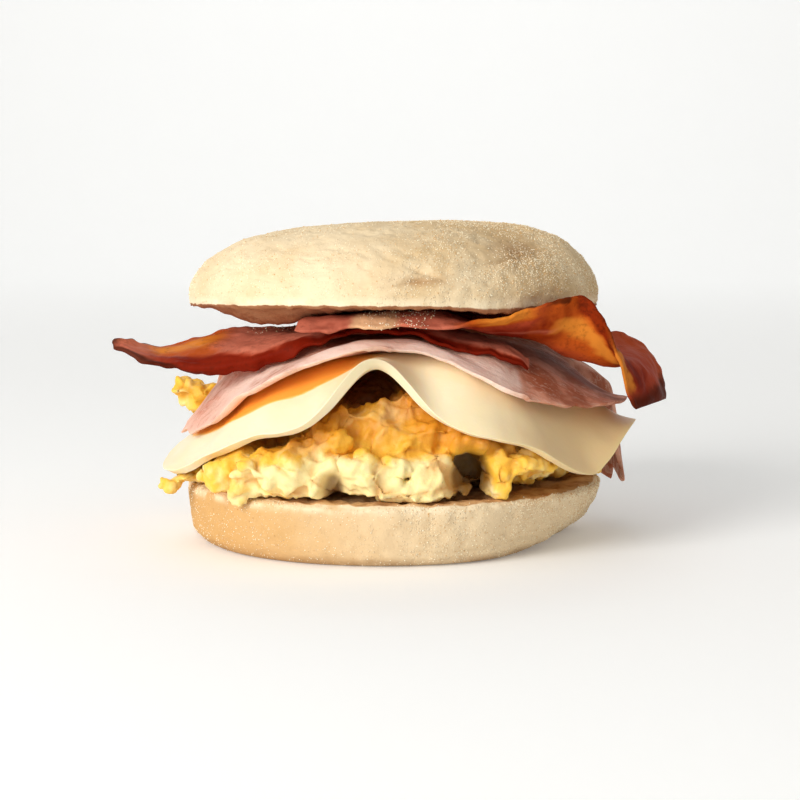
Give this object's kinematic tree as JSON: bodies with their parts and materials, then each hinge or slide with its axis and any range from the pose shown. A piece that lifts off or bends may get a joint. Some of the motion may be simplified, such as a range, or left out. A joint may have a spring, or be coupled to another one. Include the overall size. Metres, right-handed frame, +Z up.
{
  "type": "filled english muffin",
  "caption": "Split round muffin filled with scrambled egg, a cheese slice, a ham slice and bacon rashers that reach out past its sides; a hot breakfast sandwich to eat by hand.",
  "frame": {"origin": "on the flat base of the lower muffin half, within two millimetres of its middle", "axes": "+Z up through the layers, -Y towards the open filled front, +X to the right of that front along the rashers"},
  "size_m": [0.1192, 0.0965, 0.0682],
  "materials": {
    "crust": "dry floury crust, pale cream to light tan",
    "egg": "moist soft curds, yellow with paler patches",
    "cheese": "smooth, slightly waxy, pale cream yellow",
    "ham": "moist, pink with whitish patches",
    "bacon": "glossy with fat, dark red lean and amber fat"
  },
  "bodies": {
    "root": {"lower_half": "crust", "scrambled_egg": "egg", "cheese_slice": "cheese", "ham_slice": "ham", "bacon_left": "bacon", "bacon_right": "bacon", "upper_half": "crust"}
  },
  "joints": []
}
